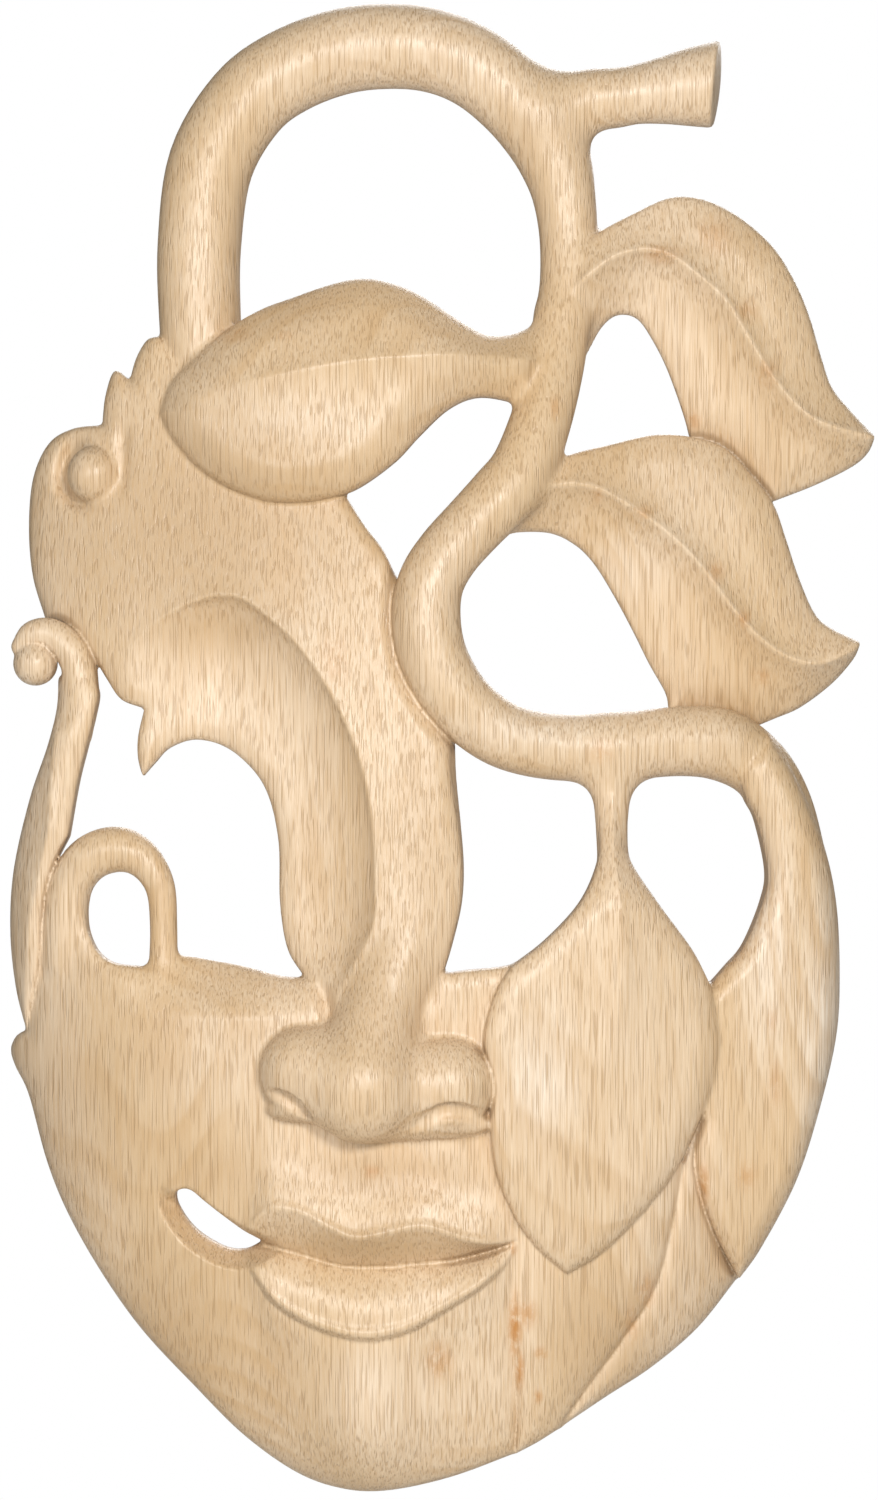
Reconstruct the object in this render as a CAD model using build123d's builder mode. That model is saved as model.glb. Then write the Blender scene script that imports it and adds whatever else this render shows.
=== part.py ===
"""Carved wooden wall mask of leaves and vines, with a small D-ring hanger on its back.

Frame: +Z up, the mask looks along -Y, the wall is the plane y = 0.  The origin is where the nail
bears on the hanger's ring.  Millimetres.

The outlines are drawn in the face plane: u runs across the mask to the viewer's right, v runs up
from the chin, and the height w is measured forward from the wall.
"""
import os
from math import cos, exp, pi, sqrt

from build123d import *

# ---- driving dimensions -------------------------------------------------------------------------
HANG_HEIGHT = 474.0        # from the chin up to the hang point; the mask is 480 tall
HANG_ACROSS = -1.5         # the hang point's u, within 2 mm of the centre of mass
REACH = 110.0              # taller than the mask's greatest depth

DOME_HEIGHT = 62.0         # front of the face above the wall, without the nose
DOME_CENTRE = 215.0        # v of the dome's highest point
SIDE_FALL = 36.0           # how far the dome drops at HALF_WIDTH
HALF_WIDTH = 135.0
END_FALL = 34.0            # how far it drops at HALF_LENGTH above or below its centre
HALF_LENGTH = 235.0
EDGE_ROLL = 12.0           # extra drop where the face rolls over into its rim
ROLL_CENTRE = 195.0        # v of the widest place of the face's oval
ROLL_HALF_WIDTH = 134.0
ROLL_HALF_LENGTH = 196.0
ROLL_POWER = 10

HOLLOW_DEPTH = 40.0        # at the middle of the back
HOLLOW_CENTRE = (-5.0, 190.0)
HOLLOW_HALF_WIDTH = 118.0
HOLLOW_HALF_LENGTH = 174.0

# mounds and hollows on the dome: height, centre (u, v), and half widths (across, up)
EYE_SOCKET = (-9.0, (-66, 214), (30, 38))
LEFT_NOSE_WING = (9.0, (-38, 130), (11, 13))
RIGHT_NOSE_WING = (9.0, (10, 130), (11, 13))
FULL_CHEEK = (4.0, (-80, 135), (34, 30))
LIPS = (7.0, (-10, 74), (36, 17))
CHIN_BOSS = (4.0, (-14, 28), (30, 16))

NOSE_HEIGHT = 24.0         # of its tip over the dome
NOSE_LINE = -15.0          # u of the nose's middle
NOSE_ROOT = 252.0          # v where it starts to rise
NOSE_LENGTH = 120.0
NOSE_RISE_POWER = 1.4
NOSE_ROOT_WIDTH = 13.0     # half widths
NOSE_WIDENING = 7.0
NOSE_TIP = 128.0           # v below which the nose falls back to the lip
NOSE_TIP_ROUND = 13.0

# leaves and vines on the face, over the dome
CHEEK_LEAF_LIFT = 2.0
MIDRIB_HEIGHT = 4.0
MIDRIB_LINE = 63.5         # u
MIDRIB_WIDTH = 8.0
MIDRIB_END = 135.0         # v where it has faded out
MIDRIB_FADE = 40.0
VINE_LEAF_LIFT = 3.0
VINE_LEAF_RISE = 5.0       # where the leaf carries on from the vine over the eye
VINE_LEAF_RISE_V = 246.0
VINE_LEAF_RISE_LENGTH = 30.0
JAW_LEAF_LIFT = 0.5
SIDE_VINE_LIFT = 4.0

# leaves of the crown
LEAF_THICKNESS = 16.0
LEAF_CREST = 7.0           # of the crest over the leaf's edges
LEAF_EDGE_DROP = 3.0
LEAF_CREST_WIDTH = 16.0
LEFT_LEAF_LIFT = 6.0
LEFT_LEAF_SINK = 11.0      # how far it sinks to meet the stem
LEFT_LEAF_SINK_U = 46.0
LEFT_LEAF_SINK_WIDTH = 28.0
LEFT_LEAF_CREST = (364.0, 5.0, 0.0016)          # v at its top, the top's u, and how it bends down
RIGHT_LEAF_SLOPE = (38.0, 50.0, 0.17)           # w at the stem, the stem's u, and fall per mm
RIGHT_LEAF_CREST = (369.0, 30.0, 70.0, 75.0)    # middle v, swing, u of its top, half a wave
MIDDLE_LEAF_SLOPE = (48.0, 38.0, 0.245)
MIDDLE_LEAF_CREST = (296.5, 28.0, 48.0, 76.0)

FACE_GRID = 9.0            # spacing of the points that carry the carved surfaces of the face
LEAF_GRID = 12.0           # the same for the plainer leaves
FEWEST_SPANS = 6
GRID_MARGIN = 3.0          # how far a carved surface reaches past its outline
SURFACE_TOLERANCE = 0.05

# hanger
PARED_FLAT = 13.5          # w of the flat pared on the vine's back for the strap
FLAT_WIDTH = 18.0
STRAP_WIDTH = 7.6
STRAP_SHEET = 0.8
STRAP_END = 455.8          # v of the strap's lower end
SCREW_V = 458.5
SCREW_HEAD_RADIUS = 2.25
SCREW_HEAD_HEIGHT = 1.0
SCREW_SHANK_RADIUS = 1.25
SCREW_LENGTH = 9.0
WIRE_RADIUS = 1.0
WIRE_CLEARANCE = 0.05      # radial, between the ring's bar and the strap's fold
RING_HALF_WIDTH = 6.5      # between wire centres
RING_HEIGHT = 12.0
RING_CORNER = 2.5

HINGE_V = HANG_HEIGHT - RING_HEIGHT + WIRE_RADIUS
FOLD_BORE = WIRE_RADIUS + WIRE_CLEARANCE
FOLD_RADIUS = FOLD_BORE + STRAP_SHEET
HINGE_W = PARED_FLAT - FOLD_RADIUS

FACE = Plane(origin=(-HANG_ACROSS, 0, -HANG_HEIGHT), x_dir=(1, 0, 0), z_dir=(0, -1, 0))

# ---- edges shared by neighbouring carved forms, as (u, v) ---------------------------------------
# face and nose
BROW = [(-102.5, 260), (-96, 255), (-88.5, 252)]
BROW_BARB = [(-88.5, 252), (-90.5, 240), (-89, 230)]
SOCKET_EDGE = [(-89, 230), (-80, 239.5), (-71, 242), (-60, 238), (-50, 227), (-45.5, 210), (-45, 190),
               (-42, 173), (-37, 165.5)]
NOSE_SIDE = [(-37, 165.5), (-31, 159), (-36, 150), (-46, 145), (-51, 135), (-49, 123), (-40, 116)]
NOSE_BASE = [(-40, 116), (-28, 114), (-17, 112), (-3, 114), (11, 116), (22, 121)]
CHEEK_TOP = [(-37, 165.5), (-45, 166.5), (-62, 170.8), (-77, 172.5), (-84, 169.5), (-97, 170.5),
             (-104, 176), (-112, 181), (-122, 180)]
RIGHT_EYE_LOWER = [(29, 169.5), (15, 168.3), (6.5, 167)]
BRIDGE = [(6.5, 167), (11, 182), (13.5, 200), (11, 220), (9, 236)]
BEHIND_VINE = [(9, 236), (8, 250), (3, 262), (2, 273), (1, 284), (-8, 295)]
FOREHEAD_GAP = [(-8, 295), (-12, 303), (-18, 311), (-24, 320.5)]
LEAF_ON_FOREHEAD = [(-24, 320.5), (-40, 317.7), (-55, 320), (-66, 325.5), (-76, 334), (-82.5, 345),
                    (-83, 350)]
FOREHEAD_AT_VINE = [(-83, 350), (-84, 372)]
FIRST_TOOTH = [(-84, 372), (-89, 370.5), (-92.5, 362), (-93.5, 358)]
SECOND_TOOTH = [(-93.5, 358), (-97, 361), (-101, 359), (-103, 350), (-103, 343)]
TEMPLE = [(-103, 343), (-112, 342), (-120, 337.5), (-125.5, 325), (-126.5, 308), (-124.5, 293),
          (-123, 281)]
CURL = [(-123, 281), (-118, 281.5), (-112, 278), (-108, 272), (-105, 266), (-102.5, 260)]

# side vine with its scrolled end
SIDE_VINE_RIGHT = [(-102.5, 260), (-104.5, 252), (-106, 243), (-110, 230), (-113, 211)]
SIDE_VINE_AT_LOOP = [(-113, 211), (-117.5, 202), (-121, 192), (-122, 180)]
SIDE_VINE_AT_CHEEK = [(-122, 180), (-123.5, 165), (-127.5, 148)]
SIDE_VINE_OUTER = [(-127.5, 148), (-130.5, 158), (-132.5, 175), (-132.5, 195), (-129, 213), (-122, 233),
                   (-117, 250), (-116.5, 257.5)]
SCROLL_BALL = [(-116.5, 257.5), (-122, 260), (-128, 261), (-131.3, 267), (-129.5, 275), (-123, 281)]

# jaw and chin
JAW_BUMP = [(-127.5, 148), (-131, 146), (-133, 141), (-130, 133), (-127, 127)]
CHIN = [(-127, 127), (-121, 105), (-114, 88), (-103, 69), (-90, 51), (-73, 33), (-57, 17), (-40, 5),
        (-25, 0), (-10, 0), (15, 5.8), (31, 11.8)]
SEAM = [(31, 11.8), (31.5, 28), (30, 45), (29, 60), (29.6, 76), (31, 90)]
MOUTH_SLOT = [(-78.5, 95), (-75, 98), (-68, 93.5), (-56, 85), (-50.5, 81), (-57, 78), (-66, 80.5),
              (-74, 87)]
INNER_JAW_RIM = [(31, 11.8), (38, 15.5), (45, 20)]
JAW_CREASE = [(45, 20), (52, 31), (66, 50), (76, 67), (80.5, 84), (82, 104)]
OUTER_JAW_RIM = [(45, 20), (60, 30), (75, 39.5), (90, 52), (103, 68)]

# cheek leaf, hanging from the vine over the right eye
CHEEK_LEAF_AT_EYE = [(29, 169.5), (40, 178), (51, 190), (57, 205), (55.5, 216), (50, 225), (44, 236)]
CHEEK_LEAF_ROOT = [(44, 236), (78, 234)]
CHEEK_LEAF_AT_LOOP = [(78, 234), (72.5, 224), (68, 217), (66, 208), (69, 199), (76, 190), (87, 175),
                      (93, 163.5)]
CHEEK_LEAF_AT_VINE = [(93, 163.5), (95, 155), (96.5, 145), (94.5, 132), (89.5, 119.5)]
CHEEK_LEAF_AT_OUTER_JAW = [(89.5, 119.5), (82, 104)]
CHEEK_LEAF_AT_INNER_JAW = [(82, 104), (70, 89), (58, 77.5), (47, 71)]
CHEEK_LEAF_LEFT = [(47, 71), (38, 80), (31, 90)]
CHEEK_LEAF_AT_MOUTH = [(31, 90), (25, 102), (22, 121)]
CHEEK_LEAF_AT_NOSE = [(22, 121), (23, 131), (20.5, 144), (21.5, 153), (25, 163), (29, 169.5)]

# vine leaf along the right edge
VINE_LEAF_INNER = [(103, 68), (95, 83), (90, 97), (88, 110), (89.5, 119.5)]
VINE_LEAF_AT_LOOP = [(93, 163.5), (103, 174), (109, 187), (111.5, 199), (110, 211), (104.5, 223), (97, 228)]
VINE_LEAF_TOP = [(97, 228), (97, 253.5)]
MIDDLE_CREASE = [(97, 253.5), (103, 251), (109, 246.5)]
RIGHT_RIM = [(109, 246.5), (120, 231), (129, 211), (134, 190), (135, 165), (134, 145), (128, 120),
             (121, 99), (110, 78), (103, 68)]

# leaves at the top
LEFT_LEAF_UPPER = [(-83, 350), (-75, 361), (-62, 373.5), (-40, 384), (-20, 389.5), (-4, 386), (14, 375.5),
                   (22, 371.5), (32, 374), (46, 384)]
LEFT_LEAF_ROOT = [(46, 384), (40, 346)]
LEFT_LEAF_LOWER = [(40, 346), (22, 351.5), (12, 349.5), (2, 340.5), (-10, 329), (-24, 320.5)]
RIGHT_LEAF_UPPER = [(50, 399), (58, 405.5), (68, 411), (80, 416.8), (92, 416), (104, 410), (115, 400),
                    (123, 387), (128, 373), (132, 358), (138, 349), (147, 340)]
RIGHT_LEAF_LOWER = [(147, 340), (140, 330.5), (128, 324.5), (114, 318.5)]
RIGHT_LEAF_TUCKED = [(114, 318.5), (105, 329), (96, 337), (87, 339.5)]
RIGHT_LEAF_INNER = [(87, 339.5), (83, 352), (77, 368), (70, 377.8), (61, 378), (55.5, 369), (50, 357)]
RIGHT_LEAF_ROOT = [(50, 357), (50, 399)]
MIDDLE_LEAF_UPPER = [(36, 327.5), (47, 333), (60, 336.5), (75, 340), (87, 339.5)]
MIDDLE_LEAF_OUTER = [(114, 318.5), (120, 301), (127, 283.5), (134, 277), (142.3, 273.5)]
MIDDLE_LEAF_LOWER = [(142.3, 273.5), (137, 264), (123, 252.5), (109, 246.5)]
MIDDLE_LEAF_FOOT = [(97, 253.5), (89, 253), (81, 252)]
MIDDLE_LEAF_INNER = [(81, 252), (74, 266), (62, 289), (54, 302), (45, 307.5), (36, 308), (28, 311)]
MIDDLE_LEAF_ROOT = [(28, 311), (36, 327.5)]

# ---- vines: (u, v, w) along the axis, and the radius at even steps from end to end --------------
CROWN_AXIS = [(-64, 312, 24), (-70, 360, 24), (-71, 398, 23), (-66, 430, 22), (-54.5, 449, 22),
              (-34, 462, 22), (-12, 466.2, 22), (8, 464, 22), (26, 456, 22), (47, 449, 22)]
CROWN_RADII = [12, 13, 13.4, 13.4, 13.4, 13.4, 13.4, 13.4, 13, 11]
BRANCH_AXIS = [(47, 449, 22), (60, 448.7, 21.5), (70, 450.2, 21), (81, 451.8, 20.5), (95.5, 452.8, 20)]
BRANCH_RADII = [11, 10.2, 9.6, 11.4, 13.8]
STEM_AXIS = [(47, 446, 23), (47, 420, 24.5), (47, 400, 27), (46, 380, 31), (43.5, 360, 36), (38, 338, 43),
             (33, 329, 44.5)]
STEM_RADII = [10, 8.8, 8.6, 8.8, 9.2, 9.8, 10.2]
S_VINE_AXIS = [(33, 329, 44.5), (18, 312, 48), (9, 301.5, 49.5), (2.3, 286, 50.5), (2.8, 271, 51),
               (10, 256.5, 51), (23, 245.5, 50), (40, 240.5, 48.5), (62, 239.5, 45), (80, 241, 40.5),
               (97, 241, 35)]
S_VINE_RADII = [10.2, 10.3, 10.4, 10.8, 11, 10.8, 10.6, 10.6, 10.8, 11.4, 12.4]
EYE_LOOP_AXIS = [(-82.5, 168, 39), (-82.3, 188, 39), (-87, 201, 38.5), (-97, 207, 36), (-107, 203.5, 33.5),
                 (-113, 192, 31), (-113.5, 174, 28)]
EYE_LOOP_RADII = [4.6, 4.4, 5.6, 7, 7.2, 7, 7]

# directions of the vines at their ends
ACROSS = (1, 0, 0)
UP = (0, 0, 1)
DOWN = (0, 0, -1)
DOWN_LEFT = (-0.62, -0.17, -0.77)


# ---- shapes of the carved surfaces --------------------------------------------------------------
def shallow_dome(u, v):
    """Height of the plain face before its rim is rounded."""
    fall = SIDE_FALL * (u / HALF_WIDTH) ** 2 + END_FALL * ((v - DOME_CENTRE) / HALF_LENGTH) ** 2
    return DOME_HEIGHT - fall


def dome(u, v):
    """Height of the plain face, rolling over at its rim."""
    below = min(0.0, v - ROLL_CENTRE)
    towards_rim = sqrt((u / ROLL_HALF_WIDTH) ** 2 + (below / ROLL_HALF_LENGTH) ** 2)
    return shallow_dome(u, v) - EDGE_ROLL * towards_rim ** ROLL_POWER


def swell(distance, width):
    """A smooth bump: 1 at no distance, fading to nothing beyond about twice the width."""
    return exp(-((distance / width) ** 2))


def hollow(u, v):
    """Depth of the hollow in the back; it follows the dome and dies out at the rim."""
    across = (u - HOLLOW_CENTRE[0]) / HOLLOW_HALF_WIDTH
    up = (v - HOLLOW_CENTRE[1]) / HOLLOW_HALF_LENGTH
    outwards = (across ** 2 + up ** 2) ** 2
    return HOLLOW_DEPTH * (1 - outwards)


def mound(u, v, shape):
    """Height of one of the mounds or hollows on the dome."""
    height, (centre_u, centre_v), (half_width, half_length) = shape
    return height * swell(u - centre_u, half_width) * swell(v - centre_v, half_length)


def up_to_one(share):
    return min(1.0, max(0.0, share))


def forehead_front(u, v):
    """Dome with a hollow eye socket on the left and the nose rising down the middle."""
    rise = up_to_one((NOSE_ROOT - v) / NOSE_LENGTH)
    width = NOSE_ROOT_WIDTH + NOSE_WIDENING * rise
    bridge = NOSE_HEIGHT * rise ** NOSE_RISE_POWER * swell(u - NOSE_LINE, width)
    under_tip = swell(max(0.0, NOSE_TIP - v), NOSE_TIP_ROUND)
    wings = mound(u, v, LEFT_NOSE_WING) + mound(u, v, RIGHT_NOSE_WING)
    return dome(u, v) + mound(u, v, EYE_SOCKET) + (bridge + wings) * under_tip


def lower_face_front(u, v):
    """Dome with a full cheek, lips and a rounded chin."""
    return dome(u, v) + mound(u, v, FULL_CHEEK) + mound(u, v, LIPS) + mound(u, v, CHIN_BOSS)


def cheek_leaf_front(u, v):
    """Follows the dome a little in front, with a midrib in its upper half."""
    midrib = MIDRIB_HEIGHT * swell(u - MIDRIB_LINE, MIDRIB_WIDTH) * up_to_one((v - MIDRIB_END) / MIDRIB_FADE)
    return dome(u, v) + CHEEK_LEAF_LIFT + midrib


def right_vine_front(u, v):
    """Rises at the top to carry on from the vine over the eye."""
    rise = VINE_LEAF_RISE * swell(v - VINE_LEAF_RISE_V, VINE_LEAF_RISE_LENGTH)
    return dome(u, v) + VINE_LEAF_LIFT + rise


def jaw_front(u, v):
    return dome(u, v) + JAW_LEAF_LIFT


def side_vine_front(u, v):
    return dome(u, v) + SIDE_VINE_LIFT


def blade(base, off_crest):
    """A leaf's front: highest along its crest and falling away to both edges."""
    return base - LEAF_EDGE_DROP + LEAF_CREST / (1 + (off_crest / LEAF_CREST_WIDTH) ** 2)


def sloping(u, slope):
    """Height of a leaf that slopes back towards the wall from stem to tip."""
    height, stem_u, fall = slope
    return height - fall * (u - stem_u)


def waving(u, crest):
    """v of a crest that bends down and up again from stem to tip."""
    middle, swing, top_u, half_wave = crest
    return middle + swing * cos(pi * (u - top_u) / half_wave)


def left_leaf_base(u, v):
    """Lies on the forehead and sinks to meet the stem."""
    sink = LEFT_LEAF_SINK * swell(u - LEFT_LEAF_SINK_U, LEFT_LEAF_SINK_WIDTH)
    return dome(u, v) + LEFT_LEAF_LIFT - sink


def left_leaf_front(u, v):
    top_v, top_u, bend = LEFT_LEAF_CREST
    return blade(left_leaf_base(u, v), v - top_v + bend * (u - top_u) ** 2)


def left_leaf_back(u, v):
    return left_leaf_base(u, v) - LEAF_THICKNESS


def right_leaf_front(u, v):
    return blade(sloping(u, RIGHT_LEAF_SLOPE), v - waving(u, RIGHT_LEAF_CREST))


def right_leaf_back(u, v):
    return sloping(u, RIGHT_LEAF_SLOPE) - LEAF_THICKNESS


def middle_leaf_front(u, v):
    return blade(sloping(u, MIDDLE_LEAF_SLOPE), v - waving(u, MIDDLE_LEAF_CREST))


def middle_leaf_back(u, v):
    return sloping(u, MIDDLE_LEAF_SLOPE) - LEAF_THICKNESS


# ---- helpers ------------------------------------------------------------------------------------
def draw(*edges):
    """Draw edges end to end in the current line: straight between two points, else a spline."""
    for points in edges:
        if len(points) == 2:
            Line(*points)
        else:
            Spline(*points)


def block_behind(height, grid, u_low, u_high, v_low, v_high):
    """Solid behind the surface w = height(u, v), over a rectangle of the face plane."""
    columns = max(FEWEST_SPANS, round((u_high - u_low) / grid))
    rows = max(FEWEST_SPANS, round((v_high - v_low) / grid))
    points = []
    for i in range(columns + 1):
        u = u_low + (u_high - u_low) * i / columns
        line = []
        for j in range(rows + 1):
            v = v_low + (v_high - v_low) * j / rows
            line.append(FACE.from_local_coords(Vector(u, v, height(u, v))))
        points.append(line)
    surface = Face.make_surface_from_array_of_points(points, tol=SURFACE_TOLERANCE, min_deg=3, max_deg=5)
    return extrude(surface, amount=2 * REACH, dir=(0, 1, 0), mode=Mode.PRIVATE)


def carve(element, front, back, grid):
    """Cut the prism of the current part down to its carved front and its back."""
    box = element.part.bounding_box()
    u_low = box.min.X + HANG_ACROSS - GRID_MARGIN
    u_high = box.max.X + HANG_ACROSS + GRID_MARGIN
    v_low = box.min.Z + HANG_HEIGHT - GRID_MARGIN
    v_high = box.max.Z + HANG_HEIGHT + GRID_MARGIN
    add(block_behind(front, grid, u_low, u_high, v_low, v_high), mode=Mode.INTERSECT)
    add(block_behind(back, grid, u_low, u_high, v_low, v_high), mode=Mode.SUBTRACT)


def in_space(points):
    """Points of the part's own frame for (u, v, w) points of the face plane."""
    return [FACE.from_local_coords(Vector(point)) for point in points]


def cross_sections(path, radii):
    """Circles square to the path, one for each radius, at even steps from end to end."""
    sections = []
    for i, radius in enumerate(radii):
        share = i / (len(radii) - 1)
        with BuildSketch(Plane(origin=path @ share, x_dir=(0, -1, 0), z_dir=path % share)) as section:
            Circle(radius)
        sections.append(section.sketch.face())
    return sections


def finish(builder, name):
    """Label the finished piece and write it."""
    builder.part.label = name
    export_step(builder.part, f"parts/{name}.step")


os.makedirs("parts", exist_ok=True)

# ---- vines over and beside the eyes -------------------------------------------------------------
with BuildPart() as s_vine:
    with BuildLine() as s_vine_path:
        Spline(*in_space(S_VINE_AXIS), tangents=[DOWN_LEFT, ACROSS])
    loft(cross_sections(s_vine_path.line, S_VINE_RADII))
finish(s_vine, "s_vine")

with BuildPart() as eye_loop:
    with BuildLine() as eye_loop_path:
        Spline(*in_space(EYE_LOOP_AXIS))
    loft(cross_sections(eye_loop_path.line, EYE_LOOP_RADII))
finish(eye_loop, "eye_loop")

with BuildPart() as side_vine:
    with BuildSketch(FACE):
        with BuildLine():
            draw(CURL, SIDE_VINE_RIGHT, SIDE_VINE_AT_LOOP, SIDE_VINE_AT_CHEEK, SIDE_VINE_OUTER, SCROLL_BALL)
        make_face()
    extrude(amount=REACH)
    carve(side_vine, side_vine_front, hollow, FACE_GRID)
    add(eye_loop.part, mode=Mode.SUBTRACT)
finish(side_vine, "side_vine")

# ---- vines of the crown -------------------------------------------------------------------------
with BuildPart() as cut_branch:
    with BuildLine() as branch_path:
        Spline(*in_space(BRANCH_AXIS), tangents=[ACROSS, ACROSS])
    loft(cross_sections(branch_path.line, BRANCH_RADII))
finish(cut_branch, "cut_branch")

with BuildPart() as crown_vine:
    with BuildLine() as crown_path:
        Spline(*in_space(CROWN_AXIS), tangents=[UP, ACROSS])
    loft(cross_sections(crown_path.line, CROWN_RADII))

with BuildPart() as stem:
    with BuildLine() as stem_path:
        Spline(*in_space(STEM_AXIS), tangents=[DOWN, DOWN_LEFT])
    loft(cross_sections(stem_path.line, STEM_RADII))
    add(crown_vine.part, mode=Mode.SUBTRACT)
    add(cut_branch.part, mode=Mode.SUBTRACT)
finish(stem, "stem")

# ---- leaves of the crown ------------------------------------------------------------------------
with BuildPart() as upper_left_leaf:
    with BuildSketch(FACE):
        with BuildLine():
            draw(LEFT_LEAF_UPPER, LEFT_LEAF_ROOT, LEFT_LEAF_LOWER, LEAF_ON_FOREHEAD)
        make_face()
    extrude(amount=REACH)
    carve(upper_left_leaf, left_leaf_front, left_leaf_back, LEAF_GRID)
    add(stem.part, mode=Mode.SUBTRACT)
finish(upper_left_leaf, "upper_left_leaf")

with BuildPart() as upper_right_leaf:
    with BuildSketch(FACE):
        with BuildLine():
            draw(RIGHT_LEAF_UPPER, RIGHT_LEAF_LOWER, RIGHT_LEAF_TUCKED, RIGHT_LEAF_INNER, RIGHT_LEAF_ROOT)
        make_face()
    extrude(amount=REACH)
    carve(upper_right_leaf, right_leaf_front, right_leaf_back, LEAF_GRID)
    add(stem.part, mode=Mode.SUBTRACT)
finish(upper_right_leaf, "upper_right_leaf")

with BuildPart() as middle_right_leaf:
    with BuildSketch(FACE):
        with BuildLine():
            draw(MIDDLE_LEAF_UPPER, RIGHT_LEAF_TUCKED, MIDDLE_LEAF_OUTER, MIDDLE_LEAF_LOWER, MIDDLE_CREASE,
                 MIDDLE_LEAF_FOOT, MIDDLE_LEAF_INNER, MIDDLE_LEAF_ROOT)
        make_face()
    extrude(amount=REACH)
    carve(middle_right_leaf, middle_leaf_front, middle_leaf_back, LEAF_GRID)
    add(stem.part, mode=Mode.SUBTRACT)
    add(s_vine.part, mode=Mode.SUBTRACT)
finish(middle_right_leaf, "middle_right_leaf")

# ---- face ---------------------------------------------------------------------------------------
with BuildPart() as forehead_and_nose:
    with BuildSketch(FACE) as forehead_outline:
        with BuildLine():
            draw(BROW, BROW_BARB, SOCKET_EDGE, NOSE_SIDE, NOSE_BASE, CHEEK_LEAF_AT_NOSE, RIGHT_EYE_LOWER,
                 BRIDGE, BEHIND_VINE, FOREHEAD_GAP, LEAF_ON_FOREHEAD, FOREHEAD_AT_VINE, FIRST_TOOTH,
                 SECOND_TOOTH, TEMPLE, CURL)
        make_face()
    extrude(amount=REACH)
    carve(forehead_and_nose, forehead_front, hollow, FACE_GRID)
    add(s_vine.part, mode=Mode.SUBTRACT)
finish(forehead_and_nose, "forehead_and_nose")

with BuildPart() as lower_face:
    with BuildSketch(FACE):
        with BuildLine():
            draw(CHIN, SEAM, CHEEK_LEAF_AT_MOUTH, NOSE_BASE, NOSE_SIDE, CHEEK_TOP, SIDE_VINE_AT_CHEEK,
                 JAW_BUMP)
        make_face()
        with BuildLine():
            Spline(*MOUTH_SLOT, periodic=True)
        make_face(mode=Mode.SUBTRACT)
    extrude(amount=REACH)
    carve(lower_face, lower_face_front, hollow, FACE_GRID)
    add(eye_loop.part, mode=Mode.SUBTRACT)
finish(lower_face, "lower_face")

with BuildPart() as cheek_leaf:
    with BuildSketch(FACE):
        with BuildLine():
            draw(CHEEK_LEAF_AT_EYE, CHEEK_LEAF_ROOT, CHEEK_LEAF_AT_LOOP, CHEEK_LEAF_AT_VINE,
                 CHEEK_LEAF_AT_OUTER_JAW, CHEEK_LEAF_AT_INNER_JAW, CHEEK_LEAF_LEFT, CHEEK_LEAF_AT_MOUTH,
                 CHEEK_LEAF_AT_NOSE)
        make_face()
    extrude(amount=REACH)
    carve(cheek_leaf, cheek_leaf_front, hollow, FACE_GRID)
    add(s_vine.part, mode=Mode.SUBTRACT)
finish(cheek_leaf, "cheek_leaf")

with BuildPart() as right_vine_leaf:
    with BuildSketch(FACE):
        with BuildLine():
            draw(VINE_LEAF_INNER, CHEEK_LEAF_AT_VINE, VINE_LEAF_AT_LOOP, VINE_LEAF_TOP, MIDDLE_CREASE,
                 RIGHT_RIM)
        make_face()
    extrude(amount=REACH)
    carve(right_vine_leaf, right_vine_front, hollow, FACE_GRID)
finish(right_vine_leaf, "right_vine_leaf")

with BuildPart() as inner_jaw_leaf:
    with BuildSketch(FACE):
        with BuildLine():
            draw(INNER_JAW_RIM, JAW_CREASE, CHEEK_LEAF_AT_INNER_JAW, CHEEK_LEAF_LEFT, SEAM)
        make_face()
    extrude(amount=REACH)
    carve(inner_jaw_leaf, jaw_front, hollow, FACE_GRID)
finish(inner_jaw_leaf, "inner_jaw_leaf")

with BuildPart() as outer_jaw_leaf:
    with BuildSketch(FACE):
        with BuildLine():
            draw(OUTER_JAW_RIM, VINE_LEAF_INNER, CHEEK_LEAF_AT_OUTER_JAW, JAW_CREASE)
        make_face()
    extrude(amount=REACH)
    carve(outer_jaw_leaf, jaw_front, hollow, FACE_GRID)
finish(outer_jaw_leaf, "outer_jaw_leaf")

# ---- hanger -------------------------------------------------------------------------------------
HINGE = FACE.from_local_coords(Vector(HANG_ACROSS, HINGE_V, HINGE_W))
FLAT = Plane(origin=FACE.from_local_coords(Vector(HANG_ACROSS, 0, PARED_FLAT)), x_dir=(-1, 0, 0),
             z_dir=(0, 1, 0))     # the pared flat seen from behind, local y still up from the chin

with BuildPart() as hanger_screw:
    with BuildSketch(FLAT.offset(STRAP_SHEET)):
        with Locations((0, SCREW_V)):
            Circle(SCREW_HEAD_RADIUS)
    extrude(amount=SCREW_HEAD_HEIGHT)
    with BuildSketch(FLAT.offset(STRAP_SHEET)):
        with Locations((0, SCREW_V)):
            Circle(SCREW_SHANK_RADIUS)
    extrude(amount=-SCREW_LENGTH)
finish(hanger_screw, "hanger_screw")

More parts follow.
